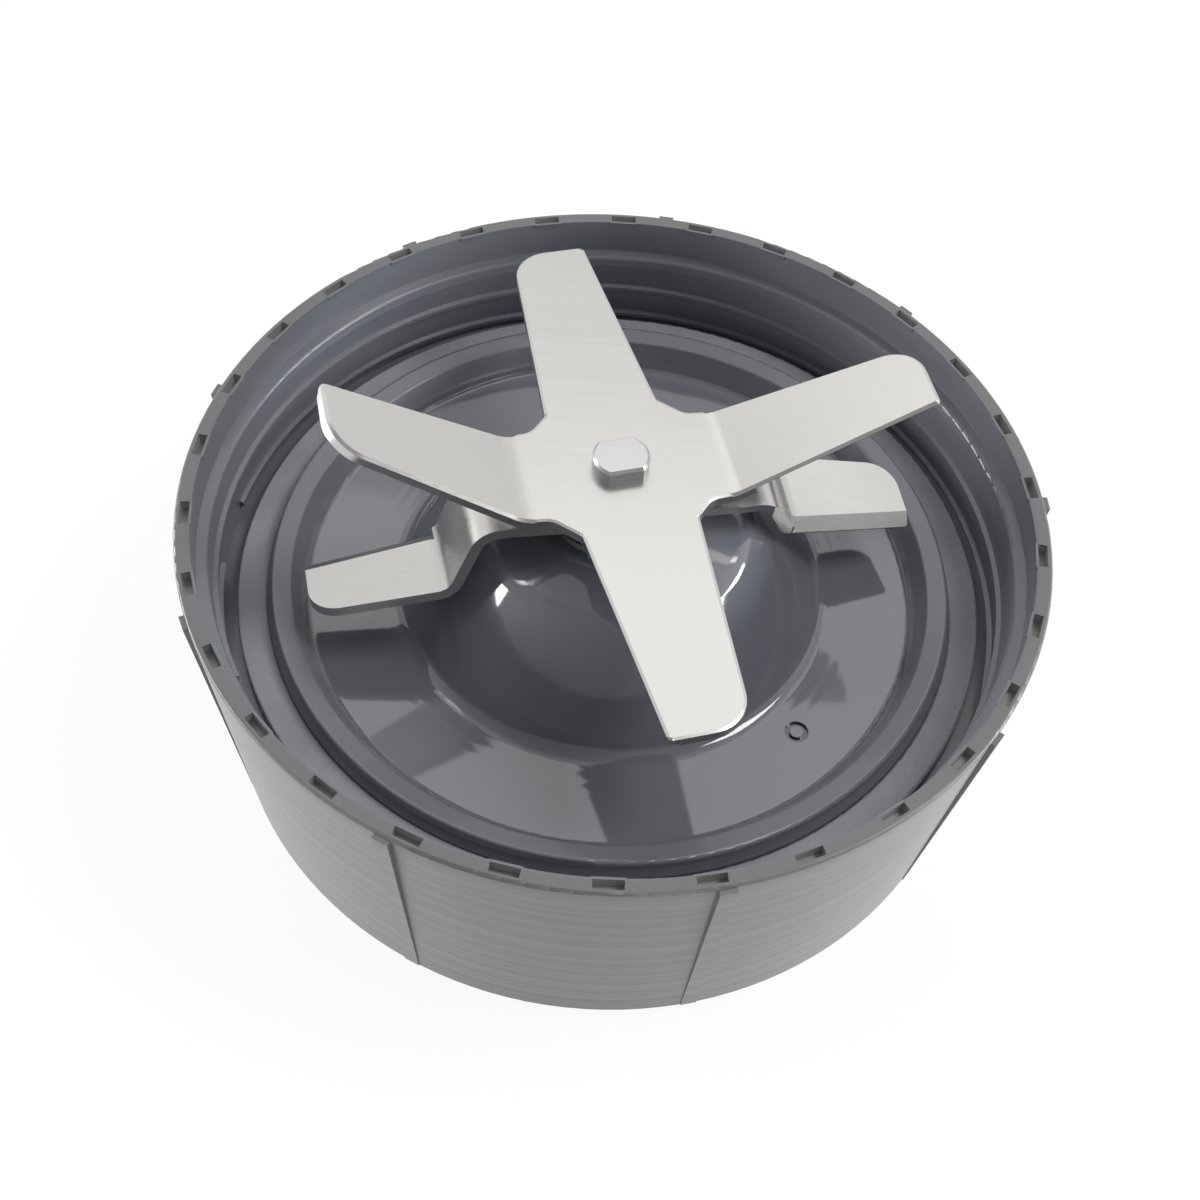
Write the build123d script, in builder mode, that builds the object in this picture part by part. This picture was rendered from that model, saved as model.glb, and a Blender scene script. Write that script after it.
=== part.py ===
"""Blade assembly of a personal blender: threaded holder, sealed bearing, stacked blades and drive cog."""
import os
from math import cos, radians, sin, tan

from build123d import *

os.makedirs("parts", exist_ok=True)

# Holder outside
RIM_R = 48.7
SKIRT_TAPER = 2.9
HOLDER_H = 33.7
RIM_EDGE = 0.35
SKIRT_WALL = 2.3
GRIP_COUNT = 9
GRIP_PHASE = 6.0
GRIP_W = 1.8
GRIP_PROUD = 0.5
GRIP_TOP = 0.3
GRIP_FADE = 0.1
GRIP_ROOT = 0.8

# Rim pockets and the small bosses that carry them
POCKET_COUNT = 30
POCKET_PHASE = -3.5
POCKET_INSET = 1.15
POCKET_L = 3.1
POCKET_W = 1.0
POCKET_D = 1.4
BOSS_L = 3.5
BOSS_H = 0.9
BOSS_PROUD = 0.14

# Mouth of the holder: rim bore, ledge, threaded wall and gasket groove, inward and down from the rim
RIM_WALL = 1.8
RIM_BORE_D = 4.6
LEDGE_W = 1.3
LEDGE_SLOPE = 0.25
LEDGE_ROUND = 0.4
LEDGE_FALL = 1.2
WALL_STEP = 0.15
GROOVE_D = 15.0
THREAD_PITCH = 4.4
THREAD_PROUD = 0.55
THREAD_UPPER = 0.4
THREAD_LOWER = 0.9
THREAD_CREST_W = 0.5
THREAD_ROUND = 0.18
THREAD_BITE = 0.4
THREAD_LIFT = -0.35
THREAD_START = -20.0
THREAD_RUNS = ((0.0, 193.0), (205.0, 590.0))

# Gasket, the rib beside it, floor and central hub
GASKET_GAP = 1.95
GASKET_W = 3.45
GASKET_T = 1.5
GASKET_BEAD = 0.3
RIB_WALL_H = 1.7
RIB_SLOPE_W = 0.55
RIB_SLOPE_H = 1.0
RIB_NECK_H = 1.1
RIB_W = 0.5
RIB_EASE_W = 1.85
RIB_EASE_H = 0.45
RIB_FOOT_W = 1.7
RIB_ROUND = 0.35
FLOOR_ROUND = 0.6
FLOOR_D = 14.8
FLOOR_T = 2.4
HUB_FOOT_R = 24.7
HUB_FOOT_FILLET = 2.4
HUB_SHOULDER_R = 15.2
HUB_H = 12.2
HUB_SHOULDER_FILLET = 3.2
HUB_LIP_W = 2.1
HUB_CAP_H = 1.6
HUB_TOP_FILLET = 0.7
HUB_WALL = 2.4
BOSS_WALL = 2.9
SPOKE_COUNT = 8
SPOKE_T = 1.6
SPOKE_H = 3.1
GATE_INSET = 6.2
GATE_TURN = -40.7
GATE_OUT_R = 1.3
GATE_IN_R = 0.8
GATE_D = 0.3

# Bearing stack, outward from the shaft and down from the hub top
SHAFT_R = 4.0
RUN_CLEARANCE = 0.04
FELT_CLEARANCE = 0.08
BUSH_WALL = 2.0
BUSH_H = 5.8
SLEEVE_WALL = 1.5
SLEEVE_FLANGE_W = 1.9
SLEEVE_FLANGE_T = 1.0
SLEEVE_SINK = 3.4
SLEEVE_L = 16.8
RING_GROOVE_D = 0.9
RING_GROOVE_W = 1.1
RING_SINK = 2.5
SEAL_SINK = 0.3
SEAL_FACE = 0.7
SEAL_LAND = 0.5
SEAL_T = 1.7
SEAL_WALL = 1.3
SEAL_BEVEL = 0.5
WASHER_T = 0.8
WASHER_INSET = 0.4
END_PLAY = 0.2

# Shaft and clip
NECK_STEP = 0.5
COLLAR_W = 2.0
COLLAR_T = 1.5
SLINGER_W = 1.9
SLINGER_T = 0.9
HEAD_R = 3.15
HEAD_FLATS = 5.0
HEAD_PROUD = 1.7
HEAD_EDGE = 0.3
CLIP_T = 0.8
CLIP_W = 1.5
CLIP_SLOT = 5.4
CLIP_GROOVE_D = 0.8
FOOT_FLAT_D = 0.7

# Drive cog, insert and screw
COG_DROP = 0.7
COG_H = 8.0
COG_WALL = 2.7
COG_TEETH = 6
TOOTH_H = 3.0
TOOTH_W = 3.6
COG_FLANGE_W = 1.0
COG_FLANGE_T = 1.4
COG_EDGE = 0.6
INSERT_WALL = 1.5
INSERT_H = 4.6
SCREW_R = 2.0
SCREW_L = 8.0
SCREW_HEAD_R = 3.5
SCREW_HEAD_H = 2.2
SCREW_HEX = 2.5
SCREW_HEX_D = 1.2
SCREW_WASHER_R = 4.6
SCREW_WASHER_T = 0.8

# Blades
SHEET = 1.2
BLADE_LIFT = 6.8
BLADE_CLEARANCE = 0.3
SPACER_T = 1.1
FLAT_TURN = 108.0
BENT_TURN = 16.0
BENT_RISE = (22.0, 35.5)
PRONG_ROOT = 9.1
PRONG_ROOT_W = 12.8
PRONG_TIP_W = 8.7
PRONG_START = 4.0
TIP_ROUND = 4.2
TIP_SHARP = 0.6
VALLEY_R = 10.75
VALLEY_SHARP = 0.8
VALLEY_SOFT = 2.2
STUB_L = 1.2
BEND_R = 4.0
EDGE_GRIND = 0.3
ARM_W = 11.4
TWIST = 7.8
TWIST_FROM = 7.0
TWIST_TO = 13.0
DROP_FROM = 16.6
DROP_ANGLE = 66.0
DROP_H = 8.0
DROP_R = 2.2
WING_DROOP = 8.8
WING_LEAD = 4.6
WING_TRAIL_ROOT = 5.5
WING_TRAIL_TIP = 3.7
WING_ROUND = 3.7
GRIND_W = 1.6
GRIND_D = 0.95
GRIND_FROM = 0.3
GRIND_OVER = 0.3

# Radii that follow, from the rim inward
FOOT_R = RIM_R - SKIRT_TAPER
POCKET_R = RIM_R - POCKET_INSET
RIM_BORE_R = RIM_R - RIM_WALL
LEDGE_R = RIM_BORE_R - LEDGE_W
WALL_R = LEDGE_R - WALL_STEP
GASKET_OUT_R = WALL_R - GASKET_GAP
GASKET_IN_R = GASKET_OUT_R - GASKET_W
RIB_OUT_R = GASKET_IN_R - RIB_SLOPE_W
RIB_IN_R = RIB_OUT_R - RIB_W
RIB_EASE_R = RIB_IN_R - RIB_EASE_W
FLOOR_EDGE_R = RIB_EASE_R - RIB_FOOT_W
GATE_R = FLOOR_EDGE_R - GATE_INSET
PRONG_TIP = FLOOR_EDGE_R - BLADE_CLEARANCE
WING_TIP = PRONG_TIP

# Radii that follow, from the shaft outward
BUSH_R = SHAFT_R + BUSH_WALL
SLEEVE_R = BUSH_R + SLEEVE_WALL
SLEEVE_FLANGE_R = SLEEVE_R + SLEEVE_FLANGE_W
RING_GROOVE_R = SLEEVE_R - RING_GROOVE_D
SEAL_WALL_R = SLEEVE_R - SEAL_WALL
WASHER_OUT_R = BUSH_R - WASHER_INSET
HUB_TOP_R = SLEEVE_R + HUB_LIP_W
BOSS_R = SLEEVE_R + BOSS_WALL
NECK_R = SHAFT_R + NECK_STEP
COLLAR_R = NECK_R + COLLAR_W
SLINGER_R = COLLAR_R + SLINGER_W
SPACER_R = COLLAR_R
CLIP_R = SHAFT_R + CLIP_W
CLIP_GROOVE_R = SHAFT_R - CLIP_GROOVE_D
FOOT_FLATS = 2 * (SHAFT_R - FOOT_FLAT_D)
INSERT_ACROSS = 2 * (SHAFT_R + INSERT_WALL)
COG_R = INSERT_ACROSS / 2 + COG_WALL
TOOTH_R = COG_R + TOOTH_H
COG_FLANGE_R = TOOTH_R + COG_FLANGE_W

# Heights that follow, from the rim down
LEDGE_TOP_Z = HOLDER_H - RIM_BORE_D
LEDGE_Z = LEDGE_TOP_Z - LEDGE_SLOPE
GROOVE_Z = HOLDER_H - GROOVE_D
THREAD_FOOT_Z = GROOVE_Z + THREAD_LIFT
GASKET_TOP_Z = GROOVE_Z + GASKET_T
RIB_SHOULDER_Z = GROOVE_Z + RIB_WALL_H
RIB_NECK_Z = RIB_SHOULDER_Z + RIB_SLOPE_H
RIB_TOP_Z = RIB_NECK_Z + RIB_NECK_H
FLOOR_Z = HOLDER_H - FLOOR_D
FLOOR_UNDER_Z = FLOOR_Z - FLOOR_T
SPOKE_Z = FLOOR_UNDER_Z - SPOKE_H
HUB_SHOULDER_Z = FLOOR_Z + HUB_H
HUB_TOP_Z = HUB_SHOULDER_Z + HUB_CAP_H

# Heights that follow, through the bearing, the blades and the cog
SEAL_TOP_Z = HUB_TOP_Z - SEAL_SINK
SEAL_LIP_Z = SEAL_TOP_Z - SEAL_FACE
SEAL_UNDER_Z = SEAL_TOP_Z - SEAL_T
SLEEVE_TOP_Z = HUB_TOP_Z - SLEEVE_SINK
SLEEVE_Z = SLEEVE_TOP_Z - SLEEVE_L
RING_Z = SLEEVE_TOP_Z - RING_SINK
WASHER_TOP_Z = SLEEVE_TOP_Z + WASHER_T
NECK_Z = WASHER_TOP_Z + END_PLAY
LOW_WASHER_TOP_Z = SLEEVE_Z - END_PLAY
CLIP_TOP_Z = LOW_WASHER_TOP_Z - WASHER_T
CLIP_Z = CLIP_TOP_Z - CLIP_T
COG_TOP_Z = CLIP_Z - COG_DROP
COG_Z = COG_TOP_Z - COG_H
INSERT_Z = COG_TOP_Z - INSERT_H
UPPER_Z = HUB_TOP_Z + BLADE_LIFT
LOWER_Z = UPPER_Z - SHEET - SPACER_T
COLLAR_TOP_Z = LOWER_Z - SHEET
COLLAR_Z = COLLAR_TOP_Z - COLLAR_T
HEAD_TOP_Z = UPPER_Z + HEAD_PROUD

# Bends of the blades
STUB_END = PRONG_ROOT + STUB_L
BEND_REACH = STUB_END + BEND_R * tan(radians(max(BENT_RISE) / 2))
WING_FROM = DROP_FROM + DROP_H / tan(radians(DROP_ANGLE))
WING_TIP_H = DROP_H + (WING_TIP - WING_FROM) * tan(radians(WING_DROOP))


def skirt_r(z):
    """Outer radius of the tapered skirt at height z."""
    return FOOT_R + (RIM_R - FOOT_R) * z / HOLDER_H


def radial_plane(turn, origin=(0, 0, 0)):
    """Upright plane through the axis: sketch x runs outward along the turn, sketch y runs up."""
    a = radians(turn)
    return Plane(origin=origin, x_dir=(cos(a), sin(a), 0), z_dir=(sin(a), -cos(a), 0))


def polar(turn, along, across):
    """Plan point at a distance along a turned arm and across it, counterclockwise positive."""
    a = radians(turn)
    return (along * cos(a) - across * sin(a), along * sin(a) + across * cos(a))


def prong_half(along):
    """Half width of an upper prong at a developed distance from the axis."""
    slope = (PRONG_ROOT_W - PRONG_TIP_W) / 2 / (PRONG_TIP - PRONG_ROOT)
    return PRONG_ROOT_W / 2 - slope * (along - PRONG_ROOT)


# Thread rib, in two runs with a gap between them
thread_runs = []
for run_from, run_to in THREAD_RUNS:
    run_z = THREAD_FOOT_Z + THREAD_PITCH * run_from / 360
    run_h = THREAD_PITCH * (run_to - run_from) / 360
    with BuildPart() as thread_run:
        with BuildLine() as thread_path:
            Helix(pitch=THREAD_PITCH, height=run_h, radius=WALL_R, center=(0, 0, run_z))
        thread_plane = Plane(origin=thread_path.line @ 0, x_dir=(-1, 0, 0), z_dir=thread_path.line % 0)
        with BuildSketch(thread_plane) as thread_section:
            Polygon(
                (-THREAD_BITE, -THREAD_LOWER),
                (0, -THREAD_LOWER),
                (THREAD_PROUD, -THREAD_CREST_W / 2),
                (THREAD_PROUD, THREAD_CREST_W / 2),
                (0, THREAD_UPPER),
                (-THREAD_BITE, THREAD_UPPER),
                align=None,
            )
            fillet(thread_section.vertices().group_by(Axis.X)[0], THREAD_ROUND)
        sweep(path=thread_path.line, is_frenet=True)
    thread_runs.append(Rotation(0, 0, THREAD_START + run_from) * thread_run.part)

# Boss that carries a rim pocket and fades into the bore below it
with BuildPart() as pocket_boss:
    with BuildSketch(radial_plane(0)):
        Polygon(
            (RIM_BORE_R + BOSS_PROUD, HOLDER_H),
            (RIM_BORE_R - BOSS_PROUD, HOLDER_H),
            (RIM_BORE_R + BOSS_PROUD, HOLDER_H - 2 * BOSS_H),
            align=None,
        )
    extrude(amount=BOSS_L / 2, both=True)

# Blade holder: one moulding
with BuildPart() as blade_holder:
    with BuildSketch(Plane.XZ) as holder_section:
        Polygon(
            (FOOT_R, 0),
            (RIM_R, HOLDER_H),
            (RIM_BORE_R, HOLDER_H),
            (RIM_BORE_R, LEDGE_TOP_Z),
            (LEDGE_R, LEDGE_Z),
            (WALL_R, LEDGE_Z - LEDGE_FALL),
            (WALL_R, GROOVE_Z),
            (GASKET_IN_R, GROOVE_Z),
            (GASKET_IN_R, RIB_SHOULDER_Z),
            (RIB_OUT_R, RIB_NECK_Z),
            (RIB_OUT_R, RIB_TOP_Z),
            (RIB_IN_R, RIB_TOP_Z),
            (RIB_EASE_R, RIB_TOP_Z - RIB_EASE_H),
            (FLOOR_EDGE_R, FLOOR_Z),
            (HUB_FOOT_R, FLOOR_Z),
            (HUB_SHOULDER_R, HUB_SHOULDER_Z),
            (HUB_TOP_R, HUB_TOP_Z),
            (SLEEVE_R, HUB_TOP_Z),
            (SLEEVE_R, SLEEVE_Z),
            (BOSS_R, SLEEVE_Z),
            (BOSS_R, HUB_SHOULDER_Z - HUB_WALL),
            (HUB_SHOULDER_R - HUB_WALL, HUB_SHOULDER_Z - HUB_WALL),
            (HUB_FOOT_R - HUB_WALL, FLOOR_UNDER_Z),
            (skirt_r(FLOOR_UNDER_Z) - SKIRT_WALL, FLOOR_UNDER_Z),
            (FOOT_R - SKIRT_WALL, 0),
            align=None,
        )
        for corner, size in (
            ((HUB_FOOT_R, FLOOR_Z), HUB_FOOT_FILLET),
            ((HUB_SHOULDER_R, HUB_SHOULDER_Z), HUB_SHOULDER_FILLET),
            ((HUB_TOP_R, HUB_TOP_Z), HUB_TOP_FILLET),
            ((RIM_R, HOLDER_H), RIM_EDGE),
            ((LEDGE_R, LEDGE_Z), LEDGE_ROUND),
            ((RIB_OUT_R, RIB_TOP_Z), RIB_ROUND),
            ((RIB_EASE_R, RIB_TOP_Z - RIB_EASE_H), RIB_ROUND),
            ((FLOOR_EDGE_R, FLOOR_Z), FLOOR_ROUND),
        ):
            fillet(holder_section.vertices().sort_by_distance(corner)[0], size)
    revolve(axis=Axis.Z)
    for number in range(GRIP_COUNT):
        with BuildSketch(radial_plane(GRIP_PHASE + number * 360 / GRIP_COUNT)):
            Polygon(
                (FOOT_R - GRIP_ROOT, 0),
                (FOOT_R + GRIP_FADE, 0),
                (RIM_R + GRIP_PROUD, HOLDER_H - GRIP_TOP),
                (RIM_R - GRIP_ROOT, HOLDER_H - GRIP_TOP),
                align=None,
            )
        extrude(amount=GRIP_W / 2, both=True)
    with PolarLocations(0, POCKET_COUNT, start_angle=POCKET_PHASE):
        add(pocket_boss.part)
    with Locations((0, 0, HOLDER_H)):
        with PolarLocations(POCKET_R, POCKET_COUNT, start_angle=POCKET_PHASE):
            Box(POCKET_W, POCKET_L, 2 * POCKET_D, mode=Mode.SUBTRACT)
    for number in range(SPOKE_COUNT):
        with BuildSketch(radial_plane(number * 360 / SPOKE_COUNT)):
            Polygon(
                (BOSS_R - GRIP_ROOT, SPOKE_Z),
                (skirt_r(SPOKE_Z) - SKIRT_WALL + GRIP_ROOT, SPOKE_Z),
                (skirt_r(FLOOR_UNDER_Z) - SKIRT_WALL + GRIP_ROOT, FLOOR_UNDER_Z + GRIP_ROOT),
                (HUB_FOOT_R - HUB_WALL, FLOOR_UNDER_Z + GRIP_ROOT),
                (HUB_SHOULDER_R - HUB_WALL, HUB_SHOULDER_Z - HUB_WALL + GRIP_ROOT),
                (BOSS_R - GRIP_ROOT, HUB_SHOULDER_Z - HUB_WALL + GRIP_ROOT),
                align=None,
            )
        extrude(amount=SPOKE_T / 2, both=True)
    with BuildSketch(Plane.XY.offset(FLOOR_Z)):
        with Locations(polar(GATE_TURN, GATE_R, 0)):
            Circle(GATE_OUT_R)
            Circle(GATE_IN_R, mode=Mode.SUBTRACT)
    extrude(amount=-GATE_D, mode=Mode.SUBTRACT)
    add(thread_runs)
blade_holder.part.label = "blade_holder"
export_step(blade_holder.part, "parts/blade_holder.step")

# Silicone gasket under the cup lip
with BuildPart() as sealing_gasket:
    with BuildSketch(Plane.XZ) as gasket_section:
        Polygon(
            (GASKET_IN_R, GROOVE_Z),
            (GASKET_OUT_R, GROOVE_Z),
            (GASKET_OUT_R, GASKET_TOP_Z),
            (GASKET_IN_R, GASKET_TOP_Z),
            align=None,
        )
        fillet(gasket_section.vertices().group_by(Axis.Y)[-1], GASKET_BEAD)
    revolve(axis=Axis.Z)
sealing_gasket.part.label = "sealing_gasket"
export_step(sealing_gasket.part, "parts/sealing_gasket.step")

# Bearing sleeve pressed into the hub from below
with BuildPart() as bearing_sleeve:
    with BuildSketch(Plane.XZ):
        Polygon(
            (BUSH_R, SLEEVE_Z - SLEEVE_FLANGE_T),
            (SLEEVE_FLANGE_R, SLEEVE_Z - SLEEVE_FLANGE_T),
            (SLEEVE_FLANGE_R, SLEEVE_Z),
            (SLEEVE_R, SLEEVE_Z),
            (SLEEVE_R, RING_Z - RING_GROOVE_W / 2),
            (RING_GROOVE_R, RING_Z - RING_GROOVE_W / 2),
            (RING_GROOVE_R, RING_Z + RING_GROOVE_W / 2),
            (SLEEVE_R, RING_Z + RING_GROOVE_W / 2),
            (SLEEVE_R, SLEEVE_TOP_Z),
            (BUSH_R, SLEEVE_TOP_Z),
            align=None,
        )
    revolve(axis=Axis.Z)
bearing_sleeve.part.label = "bearing_sleeve"
export_step(bearing_sleeve.part, "parts/bearing_sleeve.step")

# Ring that seals the sleeve in the hub
with BuildPart() as sleeve_ring:
    with BuildSketch(Plane.XZ):
        with Locations(((RING_GROOVE_R + SLEEVE_R) / 2, RING_Z)):
            Circle((SLEEVE_R - RING_GROOVE_R) / 2)
    revolve(axis=Axis.Z)
sleeve_ring.part.label = "sleeve_ring"
export_step(sleeve_ring.part, "parts/sleeve_ring.step")

# Bronze bushes at both ends of the sleeve
with BuildPart() as lower_bush:
    with BuildSketch(Plane.XY.offset(SLEEVE_Z)):
        Circle(BUSH_R)
        Circle(SHAFT_R + RUN_CLEARANCE, mode=Mode.SUBTRACT)
    extrude(amount=BUSH_H)
lower_bush.part.label = "lower_bush"
export_step(lower_bush.part, "parts/lower_bush.step")

with BuildPart() as upper_bush:
    with BuildSketch(Plane.XY.offset(SLEEVE_TOP_Z - BUSH_H)):
        Circle(BUSH_R)
        Circle(SHAFT_R + RUN_CLEARANCE, mode=Mode.SUBTRACT)
    extrude(amount=BUSH_H)
upper_bush.part.label = "upper_bush"
export_step(upper_bush.part, "parts/upper_bush.step")

# Felt that holds oil between the bushes
with BuildPart() as oil_felt:
    with BuildSketch(Plane.XY.offset(SLEEVE_Z + BUSH_H)):
        Circle(BUSH_R)
        Circle(SHAFT_R + FELT_CLEARANCE, mode=Mode.SUBTRACT)
    extrude(amount=SLEEVE_TOP_Z - SLEEVE_Z - 2 * BUSH_H)
oil_felt.part.label = "oil_felt"
export_step(oil_felt.part, "parts/oil_felt.step")

# Washer between the upper bush and the shaft neck
with BuildPart() as upper_thrust_washer:
    with BuildSketch(Plane.XY.offset(SLEEVE_TOP_Z)):
        Circle(WASHER_OUT_R)
        Circle(SHAFT_R + RUN_CLEARANCE, mode=Mode.SUBTRACT)
    extrude(amount=WASHER_T)
upper_thrust_washer.part.label = "upper_thrust_washer"
export_step(upper_thrust_washer.part, "parts/upper_thrust_washer.step")

# Lip seal in the hub top, running on the shaft neck
with BuildPart() as shaft_seal:
    with BuildSketch(Plane.XZ):
        Polygon(
            (SEAL_WALL_R, SLEEVE_TOP_Z),
            (SLEEVE_R, SLEEVE_TOP_Z),
            (SLEEVE_R, SEAL_TOP_Z),
            (NECK_R + RUN_CLEARANCE + SEAL_BEVEL, SEAL_TOP_Z),
            (NECK_R + RUN_CLEARANCE, SEAL_LIP_Z),
            (NECK_R + RUN_CLEARANCE, SEAL_LIP_Z - SEAL_LAND),
            (NECK_R + RUN_CLEARANCE + SEAL_BEVEL, SEAL_UNDER_Z),
            (SEAL_WALL_R, SEAL_UNDER_Z),
            align=None,
        )
    revolve(axis=Axis.Z)
shaft_seal.part.label = "shaft_seal"
export_step(shaft_seal.part, "parts/shaft_seal.step")

# Drive shaft with its peened two-flat head
with BuildPart() as drive_shaft:
    with BuildSketch(Plane.XZ):
        Polygon(
            (0, INSERT_Z),
            (SHAFT_R, INSERT_Z),
            (SHAFT_R, CLIP_Z),
            (CLIP_GROOVE_R, CLIP_Z),
            (CLIP_GROOVE_R, CLIP_TOP_Z),
            (SHAFT_R, CLIP_TOP_Z),
            (SHAFT_R, NECK_Z),
            (NECK_R, NECK_Z),
            (NECK_R, COLLAR_Z),
            (COLLAR_R, COLLAR_Z),
            (COLLAR_R, COLLAR_TOP_Z),
            (0, COLLAR_TOP_Z),
            align=None,
        )
    revolve(axis=Axis.Z)
    with BuildSketch(Plane.XY.offset(COLLAR_TOP_Z)):
        Circle(HEAD_R)
        Rectangle(2 * HEAD_R, HEAD_FLATS, rotation=FLAT_TURN - 90, mode=Mode.INTERSECT)
    extrude(amount=HEAD_TOP_Z - COLLAR_TOP_Z)
    chamfer(drive_shaft.faces().sort_by(Axis.Z)[-1].edges(), HEAD_EDGE)
    with BuildSketch(Plane.XY.offset(INSERT_Z)):
        Circle(2 * SHAFT_R)
        Rectangle(4 * SHAFT_R, FOOT_FLATS, mode=Mode.SUBTRACT)
    extrude(amount=COG_TOP_Z - INSERT_Z, mode=Mode.SUBTRACT)
    with Locations((0, 0, INSERT_Z)):
        Cylinder(SCREW_R, 2 * SCREW_L, mode=Mode.SUBTRACT)
drive_shaft.part.label = "drive_shaft"
export_step(drive_shaft.part, "parts/drive_shaft.step")

# Washer that throws liquid off above the seal
with BuildPart() as slinger_washer:
    with BuildSketch(Plane.XY.offset(COLLAR_Z)):
        Circle(SLINGER_R)
        Circle(NECK_R, mode=Mode.SUBTRACT)
    extrude(amount=-SLINGER_T)
slinger_washer.part.label = "slinger_washer"
export_step(slinger_washer.part, "parts/slinger_washer.step")

# Washer and clip that hold the shaft up from below
with BuildPart() as lower_thrust_washer:
    with BuildSketch(Plane.XY.offset(CLIP_TOP_Z)):
        Circle(WASHER_OUT_R)
        Circle(SHAFT_R, mode=Mode.SUBTRACT)
    extrude(amount=WASHER_T)
lower_thrust_washer.part.label = "lower_thrust_washer"
export_step(lower_thrust_washer.part, "parts/lower_thrust_washer.step")

with BuildPart() as retaining_clip:
    with BuildSketch(Plane.XY.offset(CLIP_Z)):
        Circle(CLIP_R)
        Circle(CLIP_GROOVE_R, mode=Mode.SUBTRACT)
        with Locations((CLIP_R, 0)):
            Rectangle(2 * CLIP_R, CLIP_SLOT, mode=Mode.SUBTRACT)
    extrude(amount=CLIP_T)
retaining_clip.part.label = "retaining_clip"
export_step(retaining_clip.part, "parts/retaining_clip.step")

# Drive cog that drops into the motor socket
with BuildPart() as drive_cog:
    with BuildSketch(Plane.XY.offset(COG_Z)):
        Circle(COG_R)
        with PolarLocations(TOOTH_R / 2, COG_TEETH):
            Rectangle(TOOTH_R, TOOTH_W)
        RegularPolygon(INSERT_ACROSS / 2, 6, major_radius=False, mode=Mode.SUBTRACT)
    extrude(amount=COG_TOP_Z - COG_Z)
    chamfer(drive_cog.faces().sort_by(Axis.Z)[0].outer_wire().edges(), COG_EDGE)
    with BuildSketch(Plane.XY.offset(COG_TOP_Z)):
        Circle(COG_FLANGE_R)
        RegularPolygon(INSERT_ACROSS / 2, 6, major_radius=False, mode=Mode.SUBTRACT)
    extrude(amount=-COG_FLANGE_T)
drive_cog.part.label = "drive_cog"
export_step(drive_cog.part, "parts/drive_cog.step")

# Hexagonal steel insert of the cog
with BuildPart() as cog_insert:
    with BuildSketch(Plane.XY.offset(INSERT_Z)):
        RegularPolygon(INSERT_ACROSS / 2, 6, major_radius=False)
        Circle(SHAFT_R, mode=Mode.SUBTRACT)
    extrude(amount=COG_TOP_Z - INSERT_Z)
    with BuildSketch(Plane.XY.offset(INSERT_Z)):
        Circle(SHAFT_R)
        Rectangle(2 * SHAFT_R, FOOT_FLATS, mode=Mode.SUBTRACT)
    extrude(amount=COG_TOP_Z - INSERT_Z)
cog_insert.part.label = "cog_insert"
export_step(cog_insert.part, "parts/cog_insert.step")

with BuildPart() as screw_washer:
    with BuildSketch(Plane.XY.offset(INSERT_Z)):
        Circle(SCREW_WASHER_R)
        Circle(SCREW_R, mode=Mode.SUBTRACT)
    extrude(amount=-SCREW_WASHER_T)
screw_washer.part.label = "screw_washer"
export_step(screw_washer.part, "parts/screw_washer.step")

with BuildPart() as cog_screw:
    with BuildSketch(Plane.XY.offset(INSERT_Z - SCREW_WASHER_T)):
        Circle(SCREW_HEAD_R)
    extrude(amount=-SCREW_HEAD_H)
    with BuildSketch(Plane.XY.offset(INSERT_Z - SCREW_WASHER_T - SCREW_HEAD_H)):
        RegularPolygon(SCREW_HEX / 2, 6, major_radius=False)
    extrude(amount=SCREW_HEX_D, mode=Mode.SUBTRACT)
    with BuildSketch(Plane.XY.offset(INSERT_Z - SCREW_WASHER_T)):
        Circle(SCREW_R)
    extrude(amount=SCREW_L)
cog_screw.part.label = "cog_screw"
export_step(cog_screw.part, "parts/cog_screw.step")

# Washer between the two blades
with BuildPart() as blade_spacer:
    with BuildSketch(Plane.XY.offset(LOWER_Z)):
        Circle(SPACER_R)
        Circle(HEAD_R, mode=Mode.SUBTRACT)
    extrude(amount=SPACER_T)
    with BuildSketch(Plane.XY.offset(LOWER_Z)):
        Circle(HEAD_R)
        Rectangle(2 * HEAD_R, HEAD_FLATS, rotation=FLAT_TURN - 90, mode=Mode.SUBTRACT)
    extrude(amount=SPACER_T)
blade_spacer.part.label = "blade_spacer"
export_step(blade_spacer.part, "parts/blade_spacer.step")

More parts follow.
